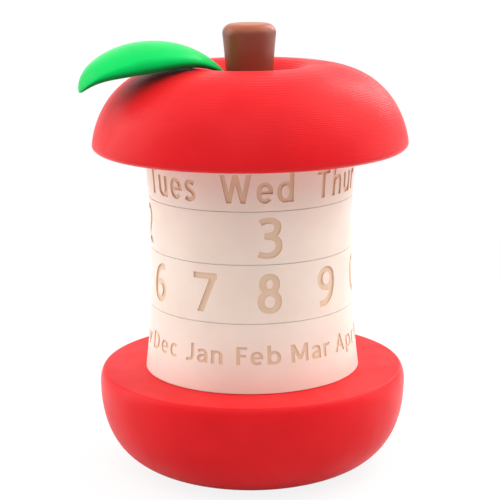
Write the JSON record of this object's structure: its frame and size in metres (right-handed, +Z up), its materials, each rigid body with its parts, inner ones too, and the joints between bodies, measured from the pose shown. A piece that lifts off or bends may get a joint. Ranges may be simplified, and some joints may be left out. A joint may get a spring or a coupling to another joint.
{
  "type": "perpetual desk calendar",
  "caption": "Perpetual desk calendar shaped like an apple core: coaxial dials with recessed weekday, date and month lettering turn on a spindle between the apple's two halves.",
  "frame": {"origin": "centre of the flat foot, on the surface that the calendar stands on", "axes": "+Z up along the spindle, -Y towards the reader, the leaf points to -X"},
  "size_m": [0.1019, 0.1, 0.1428],
  "materials": {
    "red_pla": "satin",
    "cream_pla": "matte",
    "brown_pla": "satin",
    "green_pla": "satin"
  },
  "bodies": {
    "frame": {"lower_apple": "red_pla", "spindle": "cream_pla", "upper_apple": "red_pla", "stalk": "brown_pla", "leaf": "green_pla"},
    "month": {"month_dial": "cream_pla"},
    "units": {"units_dial": "cream_pla"},
    "tens": {"tens_dial": "cream_pla"},
    "weekday": {"weekday_dial": "cream_pla"}
  },
  "joints": [
    {"name": "month_turn", "type": "hinge", "parent": "frame", "child": "month", "pos_m": [0, 0, 0.0437], "axis": [0, 0, 1], "continuous": true},
    {"name": "units_turn", "type": "hinge", "parent": "frame", "child": "units", "pos_m": [0, 0, 0.0637], "axis": [0, 0, 1], "continuous": true},
    {"name": "tens_turn", "type": "hinge", "parent": "frame", "child": "tens", "pos_m": [0, 0, 0.0811], "axis": [0, 0, 1], "continuous": true},
    {"name": "weekday_turn", "type": "hinge", "parent": "frame", "child": "weekday", "pos_m": [0, 0, 0.0963], "axis": [0, 0, 1], "continuous": true}
  ]
}
